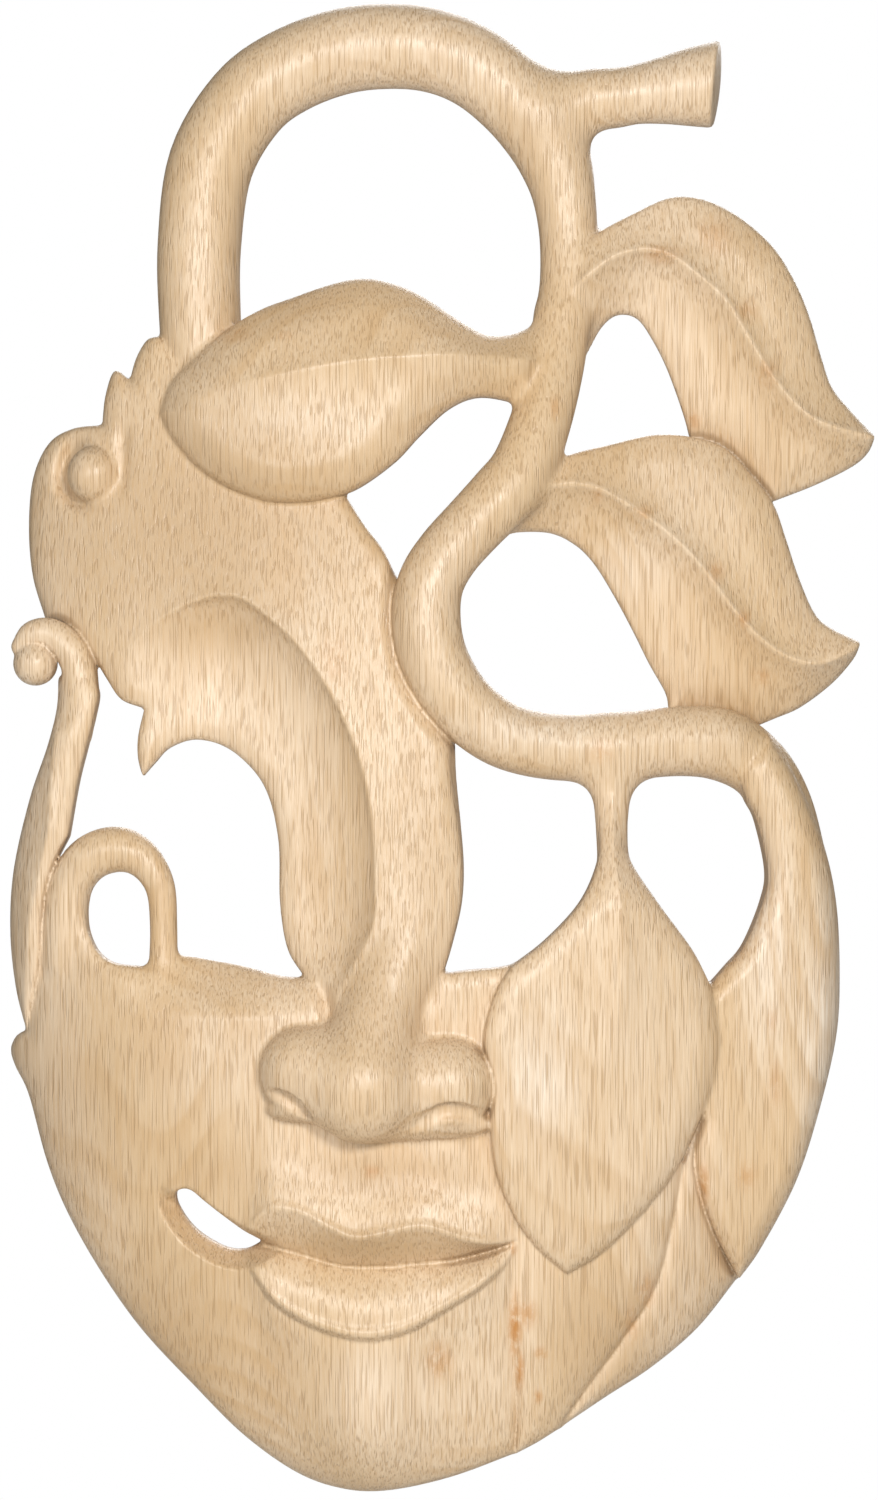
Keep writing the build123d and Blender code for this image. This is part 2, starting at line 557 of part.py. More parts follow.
with BuildPart() as hanger_strap:
    with BuildSketch(FLAT):
        with Locations((0, (STRAP_END + HINGE_V) / 2)):
            Rectangle(STRAP_WIDTH, HINGE_V - STRAP_END)
    extrude(amount=STRAP_SHEET)
    with BuildSketch(Plane(origin=HINGE, x_dir=(0, 1, 0), z_dir=(1, 0, 0))):
        Circle(FOLD_RADIUS)
    extrude(amount=STRAP_WIDTH / 2, both=True)
    with BuildSketch(Plane(origin=HINGE, x_dir=(0, 1, 0), z_dir=(1, 0, 0))):
        Circle(FOLD_BORE)
    extrude(amount=STRAP_WIDTH / 2, both=True, mode=Mode.SUBTRACT)
    add(hanger_screw.part, mode=Mode.SUBTRACT)
finish(hanger_strap, "hanger_strap")

with BuildPart() as hanger_ring:
    bar_half = RING_HALF_WIDTH - RING_CORNER
    shoulder = RING_HEIGHT - RING_HALF_WIDTH
    with BuildLine(Plane(origin=HINGE, x_dir=(1, 0, 0), z_dir=(0, -1, 0))) as ring_path:
        Line((0, 0), (bar_half, 0))
        RadiusArc((bar_half, 0), (RING_HALF_WIDTH, RING_CORNER), -RING_CORNER)
        Line((RING_HALF_WIDTH, RING_CORNER), (RING_HALF_WIDTH, shoulder))
        RadiusArc((RING_HALF_WIDTH, shoulder), (0, RING_HEIGHT), -RING_HALF_WIDTH)
    with BuildSketch(Plane(origin=HINGE, x_dir=(0, 1, 0), z_dir=(1, 0, 0))):
        Circle(WIRE_RADIUS)
    sweep(path=ring_path.wire())
    mirror(about=Plane(origin=HINGE, z_dir=(1, 0, 0)))
finish(hanger_ring, "hanger_ring")

# ---- the crown vine last, let into the forms round its foot and pared for the hanger -------------
with BuildPart() as crown_vine_finished:
    add(crown_vine.part)
    extrude(forehead_outline.sketch, amount=REACH, mode=Mode.SUBTRACT)
    add(upper_left_leaf.part, mode=Mode.SUBTRACT)
    with BuildSketch(FLAT):
        with Locations((0, HANG_HEIGHT - FLAT_WIDTH / 2)):
            Rectangle(FLAT_WIDTH, 2 * FLAT_WIDTH)
    extrude(amount=PARED_FLAT, mode=Mode.SUBTRACT)
    add(hanger_screw.part, mode=Mode.SUBTRACT)
finish(crown_vine_finished, "crown_vine")
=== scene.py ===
"""Looks of the carved leaf-and-vine mask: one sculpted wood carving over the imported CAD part.

The carving is sculpted as a solid field on a fine grid, in the mask's own drawing coordinates in
millimetres: u across to the viewer's right, v up from the chin, w forward from the wall.
"""

import math

import bpy
import numpy as np
import openvdb
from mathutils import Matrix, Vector


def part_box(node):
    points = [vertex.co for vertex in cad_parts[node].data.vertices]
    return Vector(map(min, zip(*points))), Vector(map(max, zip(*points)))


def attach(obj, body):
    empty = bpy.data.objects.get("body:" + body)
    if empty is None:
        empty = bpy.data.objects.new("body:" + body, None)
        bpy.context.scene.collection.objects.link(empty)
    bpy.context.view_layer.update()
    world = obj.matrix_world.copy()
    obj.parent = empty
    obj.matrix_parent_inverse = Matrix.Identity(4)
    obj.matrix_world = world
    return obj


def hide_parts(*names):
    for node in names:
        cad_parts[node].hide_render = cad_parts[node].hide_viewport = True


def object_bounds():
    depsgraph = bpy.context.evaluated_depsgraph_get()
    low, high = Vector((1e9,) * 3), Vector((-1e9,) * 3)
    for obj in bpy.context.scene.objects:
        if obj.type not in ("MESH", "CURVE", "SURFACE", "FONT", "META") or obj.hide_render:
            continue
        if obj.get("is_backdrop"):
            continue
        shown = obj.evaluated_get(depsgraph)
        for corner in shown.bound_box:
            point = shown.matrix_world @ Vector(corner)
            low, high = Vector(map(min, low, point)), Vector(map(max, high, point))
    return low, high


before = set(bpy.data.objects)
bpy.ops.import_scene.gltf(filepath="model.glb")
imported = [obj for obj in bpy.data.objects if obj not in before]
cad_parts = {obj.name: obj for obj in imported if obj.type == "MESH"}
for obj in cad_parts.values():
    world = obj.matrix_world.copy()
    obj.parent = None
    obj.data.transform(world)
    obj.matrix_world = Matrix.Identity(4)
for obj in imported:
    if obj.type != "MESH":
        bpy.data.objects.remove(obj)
cad_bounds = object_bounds()

# ---- where the drawing coordinates sit in the row frame -----------------------------------------
MM = 0.001
CHIN_V = -0.5                                   # v of the lowest point of the mask
LEAF_TIP_U = 147.0                              # u of the upper right leaf's tip
ORIGIN_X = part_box("upper_right_leaf")[1].x - LEAF_TIP_U * MM
ORIGIN_Z = cad_bounds[0].z - CHIN_V * MM

# ---- the grid -----------------------------------------------------------------------------------
CELL = 0.9               # mm
FAR = 50.0                                      # mm, where nothing is near
MARGIN = 6.0                                    # mm of grid worked on round a form, besides its blend
EGG_MARGIN = 8.0                                # mm of grid worked on round an ellipsoid
CORNER = 2.0                                    # mm, how far a relief form's corners are softened
STEEPEST = 2.0                                  # rise over run, past which a slope isn't made fair
OUTLINE_REACH = 14.0                            # mm, how far off an outline its distance is known
RIDGE_REACH = 60.0                              # mm, how far off its crest a ridge is felt
grid_u = np.arange(-140, 153, CELL, dtype=np.float32)
grid_v = np.arange(-6, 487, CELL, dtype=np.float32)
grid_w = np.arange(-3, 88, CELL, dtype=np.float32)
U, V = np.meshgrid(grid_u, grid_v, indexing="ij")
W = grid_w[None, None, :]


# ---- small shape functions ----------------------------------------------------------------------
def smooth_curve(points, steps=10):
    """A smooth line through the points, each span cut into equal steps."""
    p = np.array(points, float)
    if len(p) == 2:
        return p
    p = np.vstack([2 * p[0] - p[1], p, 2 * p[-1] - p[-2]])
    t = np.linspace(0, 1, steps, endpoint=False)[:, None]
    spans = [0.5 * (2 * b + (c - a) * t + (2 * a - 5 * b + 4 * c - d) * t ** 2
                    + (3 * b - a - 3 * c + d) * t ** 3) for a, b, c, d in zip(p, p[1:], p[2:], p[3:])]
    return np.vstack(spans + [p[-2:-1]])


def closed_outline(*curves):
    """One closed line from smooth curves joined end to end, with a corner at each join."""
    return np.vstack([smooth_curve(c)[:-1] for c in curves])


def bump(distance, width):
    """A soft round hump, 1 at distance 0 and nearly gone at twice the width."""
    return np.exp(-(distance / width) ** 2)


def step(x, start, end):
    """Rises smoothly from 0 at start to 1 at end."""
    t = np.clip((x - start) / (end - start), 0, 1)
    return t * t * (3 - 2 * t)


def smooth_min(a, b, k):
    """The smaller of two fields, rounded over where they differ by less than k."""
    h = np.maximum(k - np.abs(a - b), 0) / k
    return np.minimum(a, b) - h * h * (k / 4)


def smooth_max(a, b, k):
    """The larger of two fields, rounded in the same way."""
    return -smooth_min(-a, -b, k)


def window(low, high):
    """Slices of the grid that cover a box of the drawing coordinates."""
    cut = []
    for axis, a, b in zip((grid_u, grid_v, grid_w), low, high):
        start = int(np.searchsorted(axis, a))
        cut.append(slice(max(0, start - 1), int(np.searchsorted(axis, b)) + 1))
    return tuple(cut)


def line_distance(line, reach):
    """Distance from every (u, v) to an open line, at most reach, the side it lies on (+1 to the
    right of the line's direction) and how far along the line the nearest point is, from 0 to 1."""
    best = np.full(U.shape, reach * reach, dtype=np.float32)
    side = np.zeros(U.shape, dtype=np.float32)
    along = np.zeros(U.shape, dtype=np.float32)
    line = np.asarray(line, np.float32)
    lengths = np.hypot(*(line[1:] - line[:-1]).T)
    reached = np.concatenate([[0], np.cumsum(lengths)]) / lengths.sum()
    for i, (a, b) in enumerate(zip(line, line[1:])):
        near = window((*(np.minimum(a, b) - reach), 0), (*(np.maximum(a, b) + reach), 0))[:2]
        du, dv = U[near] - a[0], V[near] - a[1]
        ab = b - a
        t = np.clip((du * ab[0] + dv * ab[1]) / max(ab @ ab, 1e-9), 0, 1)
        d = (du - t * ab[0]) ** 2 + (dv - t * ab[1]) ** 2
        nearer = d < best[near]
        best[near] = np.where(nearer, d, best[near])
        side[near] = np.where(nearer, np.sign(du * ab[1] - dv * ab[0]), side[near])
        along[near] = np.where(nearer, reached[i] + t * (reached[i + 1] - reached[i]), along[near])
    return np.sqrt(best), side, along


def outline_distance(outline):
    """Signed distance in the face plane to a closed line, negative inside."""
    closed = np.vstack([outline, outline[:1]])
    distance = line_distance(closed, OUTLINE_REACH)[0]
    inside = np.zeros(U.shape, bool)
    for a, b in zip(closed, closed[1:]):
        if a[1] != b[1]:
            crosses = (V > min(a[1], b[1])) & (V <= max(a[1], b[1]))
            inside ^= crosses & (U < a[0] + (V - a[1]) * (b[0] - a[0]) / (b[1] - a[1]))
    return np.where(inside, -distance, distance).astype(np.float32)


def level_distance(height, plane, w):
    """Distance above a carved surface w = height, made fair on its slopes."""
    gu, gv = np.gradient(height, CELL)
    fair = 1 / np.sqrt(1 + np.minimum(gu ** 2 + gv ** 2, STEEPEST ** 2))
    return (w - height[plane][:, :, None]) * fair[plane][:, :, None]


def groove(points, depth, width, fade):
    """Height change of a groove cut along a line, running out over a part fade of each end."""
    distance, _, along = line_distance(smooth_curve(points), 4 * width)
    return -depth * bump(distance, width) * step(along, 0, fade) * step(1 - along, 0, fade)


def ridge(points, height, width):
    """Height of a crisp ridge along a line, like a roof with hollow sides, with the distance to
    the line and the side of it."""
    distance, side, _ = line_distance(smooth_curve(points), RIDGE_REACH)
    return height * np.exp(-distance / width), distance, side


class Form:
    """A wood form, held as the distance to its surface at every point of the grid."""

    def __init__(self):
        self.field = np.full((len(grid_u), len(grid_v), len(grid_w)), FAR, dtype=np.float32)

    def join(self, cut, field, blend):
        """Add another form's field over part of the grid, with a fillet of about blend."""
        self.field[cut] = smooth_min(self.field[cut], field, blend)

    def carve(self, cut, field, blend):
        """Take another form's field away over part of the grid."""
        self.field[cut] = smooth_max(self.field[cut], -field, blend)

    def relief(self, outline, front, back, roll, roll_width, blend=1.2):
        """Join a form with this outline between its back and its front. Its front rolls down by
        roll over roll_width towards the outline."""
        margin = MARGIN + blend
        flat = outline_distance(outline)
        rolled = front - roll * np.clip(1 + flat / roll_width, 0, 1) ** 2
        low, high = outline.min(0) - margin, outline.max(0) + margin
        plane = window((*low, 0), (*high, 0))[:2]
        cut = window((*low, -10), (*high, float(front[plane].max()) + margin))
        w = W[:, :, cut[2]]
        field = smooth_max(flat[plane][:, :, None], level_distance(rolled, plane, w), CORNER)
        field = smooth_max(field, -level_distance(back, plane, w), CORNER)
        self.join(cut, field, blend)

    def vine(self, points, blend):
        """Join a round vine through (u, v, w, radius) points."""
        p = smooth_curve(points, steps=6)
        margin = p[:, 3].max() + MARGIN + blend
        cut = window(p[:, :3].min(0) - margin, p[:, :3].max(0) + margin)
        u, v, w = grid_u[cut[0]][:, None, None], grid_v[cut[1]][None, :, None], W[:, :, cut[2]]
        field = np.full(self.field[cut].shape, FAR, dtype=np.float32)
        offset = [c.start for c in cut]
        for a, b in zip(p, p[1:]):
            near = window(np.minimum(a, b)[:3] - margin, np.maximum(a, b)[:3] + margin)
            at = tuple(slice(max(0, n.start - o), n.stop - o) for n, o in zip(near, offset))
            uu, vv, ww = u[at[0]] - a[0], v[:, at[1]] - a[1], w[:, :, at[2]] - a[2]
            ab = b[:3] - a[:3]
            t = np.clip((uu * ab[0] + vv * ab[1] + ww * ab[2]) / (ab @ ab), 0, 1)
            d = np.sqrt((uu - t * ab[0]) ** 2 + (vv - t * ab[1]) ** 2 + (ww - t * ab[2]) ** 2)
            field[at] = np.minimum(field[at], d - a[3] - t * (b[3] - a[3]))
        self.join(cut, field, blend)

    def egg(self, centre, radii, blend):
        """Join an ellipsoid."""
        c, r = np.array(centre), np.array(radii)
        cut = window(c - r - EGG_MARGIN, c + r + EGG_MARGIN)
        u = (grid_u[cut[0]][:, None, None] - c[0]) / r[0]
        v = (grid_v[cut[1]][None, :, None] - c[1]) / r[1]
        w = (W[:, :, cut[2]] - c[2]) / r[2]
        k = np.sqrt(u * u + v * v + w * w)
        steep = np.sqrt((u / r[0]) ** 2 + (v / r[1]) ** 2 + (w / r[2]) ** 2)
        field = (k * (k - 1) / np.maximum(steep, 1e-6)).astype(np.float32)
        self.join(cut, field, blend)


# ---- the face's dome and hollow, as in the CAD --------------------------------------------------
WIDEST_V = 195                                  # v where the face is widest
BELOW = np.minimum(0, V - WIDEST_V)
TOWARDS_RIM = np.minimum(np.sqrt((U / 134) ** 2 + (BELOW / 196) ** 2), 1.2)     # 1 at the rim
DOME = 62 - 36 * (U / 135) ** 2 - 34 * ((V - 215) / 235) ** 2 - 12 * TOWARDS_RIM ** 10
HOLLOW = 40 * (1 - (((U + 5) / 118) ** 2 + ((V - 190) / 174) ** 2) ** 2)
WALL = np.zeros_like(DOME)

# ---- face, nose and chin ------------------------------------------------------------------------
# smooth lines of the outline, which meet at corners
TOOTH_1 = [(-84, 372), (-88, 370.8), (-91.5, 365), (-93.5, 358)]
TOOTH_2 = [(-93.5, 358), (-98.5, 361), (-101.5, 353), (-102.5, 343.5)]
TEMPLE = [(-102.5, 343.5), (-112, 342.5), (-120, 338), (-125.3, 327), (-126.7, 311), (-125.3, 295),
          (-121, 281)]
BROW = [(-101, 262), (-96, 255), (-88.5, 252)]
BARB = [(-88.5, 252), (-90.5, 243), (-90.5, 236), (-89, 230)]
SOCKET_EDGE = [(-89, 230), (-85, 234.5), (-80, 239.5), (-71, 242), (-60, 238), (-50, 227), (-45.5, 210),
               (-45, 190), (-42.5, 175), (-37, 166)]
CHEEK_TOP = [(-37, 166), (-45, 166.5), (-62, 170.8), (-77, 172.5), (-84, 169.5), (-97, 170),
             (-103, 173.5), (-106.5, 180), (-110, 188), (-117, 190), (-124, 180)]
CHIN_RIM = [(-127.5, 148), (-131, 146), (-133, 141.5), (-131.5, 136), (-127, 127), (-121, 105),
            (-114, 88), (-103, 69), (-90, 51), (-73, 33), (-57, 17), (-40, 5), (-25, 0), (-10, -0.3),
            (10, 4), (31, 11.8)]
BRIDGE_EDGE = [(9, 240), (9.5, 230), (12, 215), (13.5, 202), (13, 190), (10, 178), (6.5, 167)]

# lines of the mouth and of the brow over the eye socket
LIPS_PART = [(-56, 82), (-49, 79.8), (-37, 76.6), (-25, 73.4), (-12.9, 73), (-0.8, 74.2), (9.7, 75),
             (19.4, 77.4), (30, 81)]
UPPER_LIP = [(-56, 84), (-51, 90), (-46.8, 92.3), (-40, 91.6), (-34.7, 89.5), (-28, 85.8), (-21, 83),
             (-12.9, 84), (-3.2, 86.3), (3.2, 86.3), (12.9, 83), (22, 81.2), (30, 81.5)]
LOWER_LIP = [(-57, 76), (-54.8, 73), (-47.6, 62.9), (-38.7, 56.5), (-29, 52.4), (-18.5, 50.4),
             (-9.7, 51.3), (-1.6, 54), (8, 59.7), (19.4, 67), (27.4, 74.2), (30, 80)]
MOUTH_SLOT = [(-50.5, 81), (-57, 84.8), (-62, 88.5), (-69, 94), (-74, 97.8), (-78, 97), (-77.5, 92),
              (-72, 84.5), (-63, 79), (-56, 78.3), (-50.5, 81)]
BROW_LINE = [(-96, 268), (-84, 280), (-70, 287), (-58, 287.5), (-47, 280), (-38, 271), (-30, 259.5),
             (-24, 248), (-19, 235), (-16, 222), (-14.5, 208), (-14.2, 195), (-15, 182), (-21, 170),
             (-27, 160)]
slot_distance = outline_distance(smooth_curve(MOUTH_SLOT)[:-1])

# vines are lists of (u, v, w, radius)
EYE_VINE = [(46, 378, 31, 9), (43.5, 362, 36, 9.2), (39, 345, 42, 9.8), (33, 329, 47, 10.4),
            (26, 320, 50, 10.6), (17.5, 311, 52.5, 10.2), (9, 301.5, 55, 10.2), (3.5, 292, 56.5, 10.6),
            (2, 281, 57, 11), (4, 269, 57, 11), (10, 257.5, 56.5, 10.8), (18, 249, 55, 10.6),
            (29, 242.5, 52.5, 10.5), (45, 239.5, 48.5, 10.6), (65, 240, 45, 10.8), (84, 241.5, 40, 11.2),
            (97, 240.3, 36, 11.6), (108.5, 233.5, 31.5, 10.4), (116, 222.5, 27.5, 9.7),
            (120.5, 208.5, 23, 9.3), (122, 192, 20, 9.2), (122, 172, 16, 9)]
BRIDGE = [(2, 240, 48, 8), (0, 215, 49.5, 10.5), (-1.5, 195, 50.5, 11.5), (-5, 177, 52, 12),
          (-11, 160, 56, 12), (-15, 147, 60, 13), (-18, 136, 62.5, 14.5)]


def across(points):
    """v of a line that runs from left to right, for every u of the grid."""
    c = smooth_curve(points)
    return np.interp(U, c[:, 0], c[:, 1])


def lips():
    """Height of the mouth over the plain face: a shaded upper lip and a full lower one."""
    parting = -4.8                                                   # where the lips meet
    part, top, bottom = across(LIPS_PART), across(UPPER_LIP), across(LOWER_LIP)
    upper = np.clip((V - part) / np.maximum(top - part, 1), 0, 1)
    lower = np.clip((part - V) / np.maximum(part - bottom, 1), 0, 1)
    full = parting + 10.8 * (1 - (1 - lower) ** 2.6) + 0.9 * bump(V - bottom - 2, 1.4)
    height = 4.5 * bump(V - top, 11) + 1.3 * bump(V - top - 0.3, 1.6)
    height = np.where(V < top, parting + 10.7 * upper, height)
    height = np.where(V < part, full, height)
    below = step(bottom - V, -0.8, 1.4)
    height = (1 - below) * height + below * 3.2 * bump(V - bottom, 12)
    return height * step(U, -60, -46) * step(-U, -33, -18)


def face_front():
    """Front surface of the face: the dome with the eye socket, cheek, mouth and chin on it."""
    d, side, _ = line_distance(smooth_curve(BROW_LINE), reach=80)
    in_socket = (side > 0) * step(U, -100, -62) * step(V, 152, 174)
    socket = in_socket * (2.5 * (1 - np.exp(-d / 1.5)) + 9.5 * (1 - np.exp(-(d / 11) ** 1.3)))
    h = DOME + 1.5 * np.exp(-d / 6) * step(U, -90, -62) * step(V, 165, 185) - socket
    h += 4 * bump(U + 80, 34) * bump(V - 135, 30)                    # cheek
    h += 3.5 * bump(U + 12, 44) * bump(V - 80, 32)                   # muzzle
    h += 12 * bump(U + 17, 19) * bump(V - 20, 24)                    # chin
    h += lips()

    # the face sinks a little along the eye vine, which then stands clear of it
    beside_vine, _, _ = line_distance(smooth_curve([p[:2] for p in EYE_VINE]), reach=30)
    h -= 3 * (1 - step(beside_vine, 9, 16)) * step(V, 170, 215)

    # creases at both sides of the nose's root, then round and beside the temple's knob
    h += groove([(-37, 167), (-32.5, 163.5), (-29.5, 158), (-29, 152), (-31.5, 146)], 3.2, 2.6, 0.4)
    h += groove([(8, 167.5), (3, 161), (-1, 153), (-1, 146)], 2.2, 3, 0.4)
    h += groove([(-105, 339.5), (-111, 337), (-114.5, 332), (-115.2, 325.5), (-112, 319.5), (-103, 316.5)],
                4.2, 2.4, 0.3)
    h += groove([(-95.5, 346), (-95.5, 337), (-95.8, 327), (-97.5, 318)], 1.8, 2.2, 0.3)

    # the lower left rim of the mouth slot is bevelled
    left_and_below = step(-(0.43 * (U + 65) + 0.9 * (V - 88)), -3, 3)
    h -= 10 * np.clip(1 - slot_distance / 6, 0, 1) * left_and_below
    return h


face = Form()
face.relief(closed_outline(
    [(-84, 372), (-78, 364), (-72, 357)], [(-72, 357), (-60, 335), (-24, 328)],
    [(-24, 328), (-24, 320.5)], [(-24, 320.5), (-18, 311), (-12, 303), (-8, 295)],
    [(-8, 295), (0, 282), (1, 268), (6, 252), (9, 240)], BRIDGE_EDGE,
    [(6.5, 167), (15, 168.3), (23, 169), (30, 170)], [(30, 170), (30, 150), (30, 120), (38, 85)],
    [(38, 85), (33, 76), (31, 60), (31.5, 30), (31, 11.8)], CHIN_RIM[::-1],
    [(-127.5, 148), (-124, 165), (-124, 180)], CHEEK_TOP[::-1], SOCKET_EDGE[::-1], BARB[::-1], BROW[::-1],
    [(-101, 262), (-106, 270), (-113, 278), (-121, 281)], TEMPLE[::-1], TOOTH_2[::-1], TOOTH_1[::-1]),
    face_front(), WALL, roll=2.0, roll_width=6)
face.egg((-105.3, 327.5, 30), (8.2, 9, 8.5), 1.5)               # knob in the temple's curl
face.vine(BRIDGE, 7)

# the nose is a form of its own, so that its nostrils stay crisp
nose = Form()
nose.vine(BRIDGE[3:], 0.5)
nose.egg((-18, 129.5, 62.5), (17, 16, 16.5), 9)                 # tip
nose.egg((-37, 136, 56), (14.2, 14.8, 15), 9)                   # left wing
nose.egg((9, 132, 57), (15, 15.2, 15), 9)                       # right wing
nose.egg((-14, 132, 56), (30, 12, 13.5), 4)                     # body between the wings
nose.egg((-5, 119.5, 54), (21, 6, 11), 4)                       # underside
nose.egg((-39, 124, 54), (10, 4, 9), 2)                         # lip of the left nostril
nose.egg((12, 119.5, 54), (12, 4.5, 9), 2)                      # lip of the right nostril
nostrils = Form()
nostrils.vine([(-48, 128.5, 63, 1.6), (-44.5, 128, 65.5, 2.9), (-40, 125.5, 66.5, 3.1),
               (-36, 122.5, 65, 2)], 0.5)
nostrils.vine([(-1, 118, 66.5, 1.8), (4, 121.5, 68, 3), (10, 123.5, 69, 3.5), (16, 122.5, 66, 3),
               (20, 120, 63, 1.6)], 0.5)
nose_box = window((-70, 100, 20), (40, 190, 88))
nose.carve(nose_box, nostrils.field[nose_box], 1.5)
face.join(nose_box, nose.field[nose_box], 2.0)

# loop at the outer corner of the left eye
face.vine([(-82.5, 166, 39, 4.7), (-82.3, 182, 39, 4.4), (-83.5, 195, 39, 4.8), (-89, 203.5, 38, 6),
           (-97, 206.8, 36, 7.3), (-106, 204, 34, 7.4), (-112, 196, 31, 7), (-114, 184, 29, 7),
           (-114, 172, 26, 7)], 3)

# ---- leaves and vine over the right half of the face --------------------------------------------
wood = Form()
SEAM = [(31, 11.8), (31.5, 28), (30, 45), (29, 60), (29.6, 76), (31, 90)]
JAW_CREASE = [(45, 20), (53, 32.5), (65, 49), (76, 67), (82, 92), (84, 106)]
VINE_LEAF_INNER = [(103, 68), (95, 83), (90, 97), (88, 110), (89.5, 119.5)]
CHEEK_LEAF_RIGHT = [(89.5, 119.5), (94.5, 132), (96.5, 145), (95, 155), (93, 163.5)]
LOOP_RIGHT = [(93, 163.5), (98, 169), (104, 176), (110, 190), (111.5, 200), (108, 216), (104.5, 223),
              (102, 232)]
RIGHT_RIM = [(109, 246.5), (114.5, 240), (120, 231), (129, 211), (134, 190), (135.3, 165), (134, 145),
             (128, 120), (121, 99), (110, 78), (103, 68)]
# outer jaw leaf, inner jaw leaf and the wide leaf that closes the rim
wood.relief(closed_outline(JAW_CREASE, [(84, 106), (89.5, 119.5)], VINE_LEAF_INNER[::-1],
                           [(103, 68), (90, 52), (75, 39.5), (60, 30), (45, 20)]),
            DOME + 1.2, WALL, roll=2.2, roll_width=7)
wood.relief(closed_outline(SEAM, [(31, 90), (50, 95), (84, 106)], JAW_CREASE[::-1],
                           [(45, 20), (38, 15.5), (31, 11.8)]),
            DOME + 2.6, WALL, roll=2.2, roll_width=9)
wood.relief(closed_outline(VINE_LEAF_INNER, [(89.5, 119.5), (84, 124)], [(84, 124), (86, 140), (84, 157)],
                           [(84, 157), (93, 163.5)], LOOP_RIGHT, [(102, 232), (104, 237), (112, 243)],
                           [(112, 243), (114.5, 240)], RIGHT_RIM[1:]),
            DOME + 3 + 9 * TOWARDS_RIM ** 10 + 11 * bump(U - 132, 25), WALL, roll=5, roll_width=7)

# cheek leaf, which sinks towards its stalk
MIDRIB = [(61.5, 230), (62, 205), (64, 188), (65, 172), (64, 158), (61, 140), (58, 125)]
midrib = ridge(MIDRIB, 4.5, 12)[0] * step(V, 120, 175)
cheek_leaf = DOME + 8.5 + midrib - 13 * step(V, 185, 228)
wood.relief(closed_outline([(31, 88), (25, 102), (22.5, 118), (23, 131), (20.5, 144), (21.5, 153),
                            (25, 163), (29, 169.5)],
                           [(29, 169.5), (40, 178), (51, 190), (56.7, 203), (57.3, 214), (57.5, 228)],
                           [(57.5, 228), (65.5, 228)],
                           [(65.5, 228), (65.5, 214), (67, 204), (76, 190), (87, 175), (93, 163.5)],
                           CHEEK_LEAF_RIGHT[::-1], [(89.5, 119.5), (82, 104), (70, 89), (58, 77.5), (47, 71)],
                           [(47, 71), (38, 79), (31, 88)]),
            cheek_leaf, WALL, roll=3.2, roll_width=8, blend=1.0)

# side vine and its scroll
FOLD = [(-117, 243), (-118.5, 228), (-119.5, 212), (-123, 196), (-126, 180), (-126, 165)]
fold = ridge(FOLD, 5, 9)[0] * step(V, 158, 185)
wood.relief(closed_outline([(-112, 266), (-107, 263), (-103.5, 257.5), (-104.5, 250), (-107, 240),
                            (-110, 228), (-113, 211)],
                           [(-113, 211), (-118, 201), (-121, 190), (-122, 178), (-123.5, 165), (-127.5, 148)],
                           [(-127.5, 148), (-131, 162), (-132.7, 180), (-131.5, 200), (-126, 223),
                            (-120, 240), (-117, 252), (-116.5, 262)],
                           [(-116.5, 262), (-112, 266)]),
            DOME + 3 + fold, WALL, roll=3, roll_width=7)
wood.vine([(-110.5, 244, 32, 4.8), (-109.5, 254, 33.5, 5.4), (-109.2, 263, 33.5, 5.6),
           (-112.5, 271, 33, 5.4), (-118.5, 276, 32, 5), (-124.5, 276, 31, 4.4), (-128.5, 272, 30, 3.2)], 2)
wood.egg((-123.8, 266.6, 30), (7.2, 7.2, 8.5), 0.8)             # knob at the scroll's end

# ---- vine over the right eye, crown vine, stem and sawn branch ----------------------------------
CROWN_VINE = [(-64, 318, 24, 12), (-69, 350, 24, 12.8), (-71, 378, 24, 13.2), (-71.2, 402, 23, 13.5),
              (-67.5, 428, 22, 13.8), (-56, 447.5, 22, 13.8), (-42, 458, 22, 13.8), (-24, 464.5, 22, 13.8),
              (-6, 465.8, 22, 13.7), (8, 463.3, 22, 13.4), (20, 457.5, 22, 13.2), (31, 448, 22.3, 13),
              (39, 437.5, 22.8, 12.4), (43.7, 428, 23.6, 11.5), (46.3, 418, 24.7, 10.2),
              (47.8, 405, 26, 9.4), (47.7, 390, 28.5, 9.1), (46, 378, 31, 9)]
BRANCH = [(42, 446, 22, 10), (55, 448.5, 22, 10), (63, 449.2, 22, 9.7), (70, 450.4, 21.5, 9.6),
          (80, 451.8, 20.8, 11), (90, 453, 20.3, 13), (103, 454, 20, 15)]
SAWN_END = (96.5, 453, 22)                      # u, v, w of the middle of the branch's sawn end
vines = Form()
vines.vine(EYE_VINE, 2)
vines.vine([(61.5, 238, 45, 7), (61.5, 230, 46.5, 6.6), (61.3, 216, 49, 5.2), (61.7, 204, 50.5, 4.8),
            (62.5, 190, 52, 4)], 9)                             # stalk of the cheek leaf
vines.vine(CROWN_VINE, 2)
vines.vine(BRANCH, 10)

# the sawn end leans a little and is slightly domed
branch_box = window((86, 430, -5), (152, 486, 88))
above = V[branch_box[:2]][:, :, None] - SAWN_END[1]
ahead = W[:, :, branch_box[2]] - SAWN_END[2]
dome = 0.006 * (above ** 2 + ahead ** 2)
past_end = U[branch_box[:2]][:, :, None] - 0.1 * above + 0.12 * ahead + dome - SAWN_END[0]
vines.carve(branch_box, -past_end, 1.2)

# ---- leaves of the crown ------------------------------------------------------------------------
LEAF_DEPTH = 16.0                               # mm, from front to back, thinner near the stems
leaves = Form()

